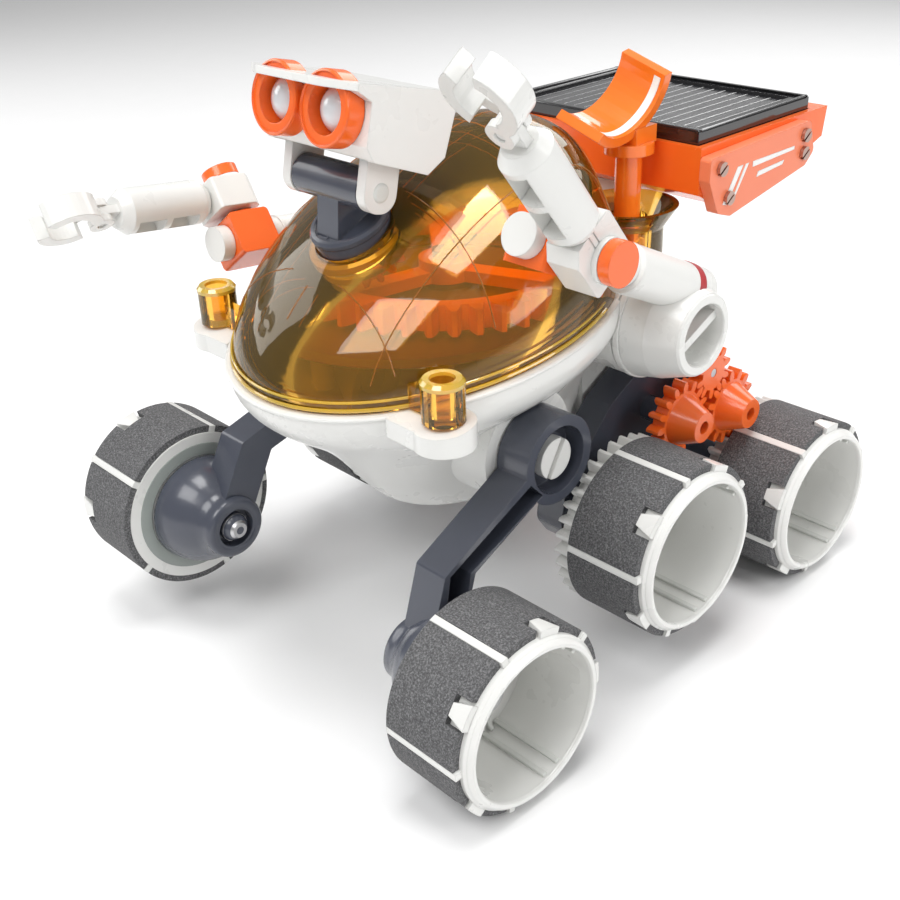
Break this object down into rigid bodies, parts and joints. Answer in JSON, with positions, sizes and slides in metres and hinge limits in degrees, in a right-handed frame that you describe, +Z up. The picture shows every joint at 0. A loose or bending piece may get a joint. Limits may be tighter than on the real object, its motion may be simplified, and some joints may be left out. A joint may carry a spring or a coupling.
{
  "type": "solar robot kit",
  "caption": "Toy rover kit with rocker-mounted wheels, a clear dome over a ring gear, a nodding camera head, two jointed claw arms, a dish and a solar panel on a rear mast",
  "frame": {"origin": "on the ground under the middle of the rover's bounding box", "axes": "+Z up, the rover faces -Y, its left side is +X"},
  "size_m": [0.1262, 0.1657, 0.1427],
  "materials": {
    "shell_white": "moulded, slightly glossy",
    "amber_clear": "clear tinted plastic",
    "orange_gloss": "moulded, glossy",
    "slate_blue": "moulded, satin",
    "foam_grey": "fine foam",
    "salmon": "moulded, glossy",
    "screw_steel": "turned",
    "panel_black": "glossy, framed cell",
    "motor_steel": "drawn can",
    "shaft_steel": "drawn",
    "deck_tan": "moulded"
  },
  "bodies": {
    "chassis": {"lower_hull": "shell_white", "dome": "amber_clear", "deck": "deck_tan", "motor": "motor_steel", "panel_tray": "orange_gloss", "solar_panel": "panel_black", "tray_side_plates": "salmon", "tray_screws": "screw_steel", "left_pivot_pin": "shell_white", "right_pivot_pin": "shell_white"},
    "ring_drive": {"ring_gear": "orange_gloss"},
    "motor_drive": {"motor_pinion": "orange_gloss"},
    "turret": {"neck": "slate_blue", "turret_gear": "orange_gloss"},
    "head": {"head_shell": "shell_white", "eyes": "orange_gloss"},
    "antenna": {"antenna_dish": "orange_gloss"},
    "axle_shaft": {"drive_shaft": "shaft_steel"},
    "left_front_arm_body": {"left_front_arm": "slate_blue", "left_front_axle": "shaft_steel"},
    "left_front_wheel_body": {"left_front_wheel": "shell_white", "left_front_treads": "foam_grey"},
    "left_bogie_body": {"left_bogie_frame": "slate_blue"},
    "left_mid_wheel_body": {"left_mid_wheel": "shell_white", "left_mid_treads": "foam_grey"},
    "left_rear_wheel_body": {"left_rear_wheel": "shell_white", "left_rear_treads": "foam_grey"},
    "left_front_idler_body": {"left_front_idler": "orange_gloss"},
    "left_rear_idler_body": {"left_rear_idler": "orange_gloss"},
    "left_drive_pinion_body": {"left_drive_pinion": "orange_gloss"},
    "left_upper_arm_body": {"left_shoulder": "shell_white", "left_arm_cap": "shell_white"},
    "left_bracket_body": {"left_elbow_bracket": "orange_gloss", "left_elbow_pin": "orange_gloss"},
    "left_forearm_block_body": {"left_forearm_block": "shell_white"},
    "left_forearm_body": {"left_forearm": "shell_white"},
    "left_claw_upper_body": {"left_claw_upper": "shell_white"},
    "left_claw_lower_body": {"left_claw_lower": "shell_white"},
    "right_front_arm_body": {"right_front_arm": "slate_blue", "right_front_axle": "shaft_steel"},
    "right_front_wheel_body": {"right_front_wheel": "shell_white", "right_front_treads": "foam_grey"},
    "right_bogie_body": {"right_bogie_frame": "slate_blue"},
    "right_mid_wheel_body": {"right_mid_wheel": "shell_white", "right_mid_treads": "foam_grey"},
    "right_rear_wheel_body": {"right_rear_wheel": "shell_white", "right_rear_treads": "foam_grey"},
    "right_front_idler_body": {"right_front_idler": "orange_gloss"},
    "right_rear_idler_body": {"right_rear_idler": "orange_gloss"},
    "right_drive_pinion_body": {"right_drive_pinion": "orange_gloss"},
    "right_upper_arm_body": {"right_shoulder": "shell_white", "right_arm_cap": "shell_white"},
    "right_bracket_body": {"right_elbow_bracket": "orange_gloss", "right_elbow_pin": "orange_gloss"},
    "right_forearm_block_body": {"right_forearm_block": "shell_white"},
    "right_forearm_body": {"right_forearm": "shell_white"},
    "right_claw_upper_body": {"right_claw_upper": "shell_white"},
    "right_claw_lower_body": {"right_claw_lower": "shell_white"}
  },
  "joints": [
    {"name": "ring_spin", "type": "hinge", "parent": "chassis", "child": "ring_drive", "pos_m": [0, -0.01535, 0.0863], "axis": [0, 0, 1], "continuous": true},
    {"name": "motor_spin", "type": "hinge", "parent": "chassis", "child": "motor_drive", "pos_m": [0, 0.02365, 0.0863], "axis": [0, 0, 1], "continuous": true},
    {"name": "turret_swivel", "type": "hinge", "parent": "chassis", "child": "turret", "pos_m": [0, -0.04075, 0.1018], "axis": [0, -0.4226, 0.9063], "range_deg": [-60, 60]},
    {"name": "head_tilt", "type": "hinge", "parent": "turret", "child": "head", "pos_m": [0, -0.04285, 0.1106], "axis": [1, 0, 0], "range_deg": [-14, 10]},
    {"name": "antenna_swivel", "type": "hinge", "parent": "chassis", "child": "antenna", "pos_m": [0.016, 0.02625, 0.104], "axis": [0, 0, 1], "range_deg": [-20, 80]},
    {"name": "shaft_spin", "type": "hinge", "parent": "chassis", "child": "axle_shaft", "pos_m": [0, 0.03262, 0.0553], "axis": [1, 0, 0], "continuous": true},
    {"name": "left_front_arm_pivot", "type": "hinge", "parent": "chassis", "child": "left_front_arm_body", "pos_m": [0.032, -0.01975, 0.0532], "axis": [1, 0, 0], "range_deg": [-10, 10]},
    {"name": "left_front_wheel_spin", "type": "hinge", "parent": "left_front_arm_body", "child": "left_front_wheel_body", "pos_m": [0.05, -0.05535, 0.02], "axis": [1, 0, 0], "continuous": true},
    {"name": "left_bogie_pivot", "type": "hinge", "parent": "chassis", "child": "left_bogie_body", "pos_m": [0.024, 0.03262, 0.0553], "axis": [1, 0, 0], "range_deg": [-2, 10.6]},
    {"name": "left_mid_wheel_spin", "type": "hinge", "parent": "left_bogie_body", "child": "left_mid_wheel_body", "pos_m": [0.046, 0.001, 0.02975], "axis": [1, 0, 0], "continuous": true},
    {"name": "left_rear_wheel_spin", "type": "hinge", "parent": "left_bogie_body", "child": "left_rear_wheel_body", "pos_m": [0.046, 0.05279, 0.02001], "axis": [1, 0, 0], "continuous": true},
    {"name": "left_front_idler_spin", "type": "hinge", "parent": "left_bogie_body", "child": "left_front_idler_body", "pos_m": [0.0364, 0.02136, 0.0474], "axis": [1, 0, 0], "continuous": true},
    {"name": "left_rear_idler_spin", "type": "hinge", "parent": "left_bogie_body", "child": "left_rear_idler_body", "pos_m": [0.0364, 0.04023, 0.04385], "axis": [1, 0, 0], "continuous": true},
    {"name": "left_drive_pinion_spin", "type": "hinge", "parent": "left_bogie_body", "child": "left_drive_pinion_body", "pos_m": [0.0364, 0.03262, 0.0553], "axis": [1, 0, 0], "continuous": true},
    {"name": "left_shoulder_pitch", "type": "hinge", "parent": "chassis", "child": "left_upper_arm_body", "pos_m": [0.041, 0.01265, 0.074], "axis": [1, 0, 0], "range_deg": [-40, 8]},
    {"name": "left_bracket_roll", "type": "hinge", "parent": "left_upper_arm_body", "child": "left_bracket_body", "pos_m": [0.041, -0.02766, 0.10312], "axis": [0, 0.8988, -0.4384], "range_deg": [-40, 40]},
    {"name": "left_elbow", "type": "hinge", "parent": "left_bracket_body", "child": "left_forearm_block_body", "pos_m": [0.0516, -0.02766, 0.10312], "axis": [1, 0, 0], "range_deg": [-30, 30]},
    {"name": "left_forearm_twist", "type": "hinge", "parent": "left_forearm_block_body", "child": "left_forearm_body", "pos_m": [0.0516, -0.03382, 0.111], "axis": [0, 0.6157, -0.788], "range_deg": [-90, 90]},
    {"name": "left_claw_upper_turn", "type": "hinge", "parent": "left_forearm_body", "child": "left_claw_upper_body", "pos_m": [0.0516, -0.04884, 0.13023], "axis": [0, -0.788, -0.6157], "range_deg": [-20, 6]},
    {"name": "left_claw_lower_turn", "type": "hinge", "parent": "left_forearm_body", "child": "left_claw_lower_body", "pos_m": [0.0516, -0.04884, 0.13023], "axis": [0, -0.788, -0.6157], "range_deg": [-6, 20]},
    {"name": "right_front_arm_pivot", "type": "hinge", "parent": "chassis", "child": "right_front_arm_body", "pos_m": [-0.032, -0.01975, 0.0532], "axis": [1, 0, 0], "range_deg": [-10, 10]},
    {"name": "right_front_wheel_spin", "type": "hinge", "parent": "right_front_arm_body", "child": "right_front_wheel_body", "pos_m": [-0.05, -0.05995, 0.0276], "axis": [1, 0, 0], "continuous": true},
    {"name": "right_bogie_pivot", "type": "hinge", "parent": "chassis", "child": "right_bogie_body", "pos_m": [-0.024, 0.03262, 0.0553], "axis": [1, 0, 0], "range_deg": [-2, 10.6]},
    {"name": "right_mid_wheel_spin", "type": "hinge", "parent": "right_bogie_body", "child": "right_mid_wheel_body", "pos_m": [-0.046, 0.001, 0.02975], "axis": [1, 0, 0], "continuous": true},
    {"name": "right_rear_wheel_spin", "type": "hinge", "parent": "right_bogie_body", "child": "right_rear_wheel_body", "pos_m": [-0.046, 0.05279, 0.02001], "axis": [1, 0, 0], "continuous": true},
    {"name": "right_front_idler_spin", "type": "hinge", "parent": "right_bogie_body", "child": "right_front_idler_body", "pos_m": [-0.0364, 0.02136, 0.0474], "axis": [1, 0, 0], "continuous": true},
    {"name": "right_rear_idler_spin", "type": "hinge", "parent": "right_bogie_body", "child": "right_rear_idler_body", "pos_m": [-0.0364, 0.04023, 0.04385], "axis": [1, 0, 0], "continuous": true},
    {"name": "right_drive_pinion_spin", "type": "hinge", "parent": "right_bogie_body", "child": "right_drive_pinion_body", "pos_m": [-0.0364, 0.03262, 0.0553], "axis": [1, 0, 0], "continuous": true},
    {"name": "right_shoulder_pitch", "type": "hinge", "parent": "chassis", "child": "right_upper_arm_body", "pos_m": [-0.0455, 0.01265, 0.074], "axis": [1, 0, 0], "range_deg": [-40, 2]},
    {"name": "right_bracket_roll", "type": "hinge", "parent": "right_upper_arm_body", "child": "right_bracket_body", "pos_m": [-0.0455, -0.03531, 0.08716], "axis": [0, 0.9954, -0.0958], "range_deg": [-40, 40]},
    {"name": "right_elbow", "type": "hinge", "parent": "right_bracket_body", "child": "right_forearm_block_body", "pos_m": [-0.05203, -0.03451, 0.09547], "axis": [0.6157, -0.0755, -0.7844], "range_deg": [-30, 30]},
    {"name": "right_forearm_twist", "type": "hinge", "parent": "right_forearm_block_body", "child": "right_forearm_body", "pos_m": [-0.05161, -0.04442, 0.09675], "axis": [-0.0412, 0.9909, -0.1278], "range_deg": [-90, 90]},
    {"name": "right_claw_upper_turn", "type": "hinge", "parent": "right_forearm_body", "child": "right_claw_upper_body", "pos_m": [-0.05061, -0.0686, 0.09987], "axis": [0.6157, -0.0755, -0.7844], "range_deg": [-20, 6]},
    {"name": "right_claw_lower_turn", "type": "hinge", "parent": "right_forearm_body", "child": "right_claw_lower_body", "pos_m": [-0.05061, -0.0686, 0.09987], "axis": [0.6157, -0.0755, -0.7844], "range_deg": [-6, 20]}
  ],
  "couplings": [
    {"joint": "motor_spin", "follows": "ring_spin", "ratio": -5.5},
    {"joint": "left_rear_wheel_spin", "follows": "left_mid_wheel_spin", "ratio": 1},
    {"joint": "left_front_idler_spin", "follows": "left_mid_wheel_spin", "ratio": -2.2667},
    {"joint": "left_rear_idler_spin", "follows": "left_mid_wheel_spin", "ratio": -2.2667},
    {"joint": "left_drive_pinion_spin", "follows": "left_mid_wheel_spin", "ratio": 3.4},
    {"joint": "left_claw_lower_turn", "follows": "left_claw_upper_turn", "ratio": -1},
    {"joint": "right_rear_wheel_spin", "follows": "right_mid_wheel_spin", "ratio": 1},
    {"joint": "right_front_idler_spin", "follows": "right_mid_wheel_spin", "ratio": -2.2667},
    {"joint": "right_rear_idler_spin", "follows": "right_mid_wheel_spin", "ratio": -2.2667},
    {"joint": "right_drive_pinion_spin", "follows": "right_mid_wheel_spin", "ratio": 3.4},
    {"joint": "right_claw_lower_turn", "follows": "right_claw_upper_turn", "ratio": -1}
  ]
}
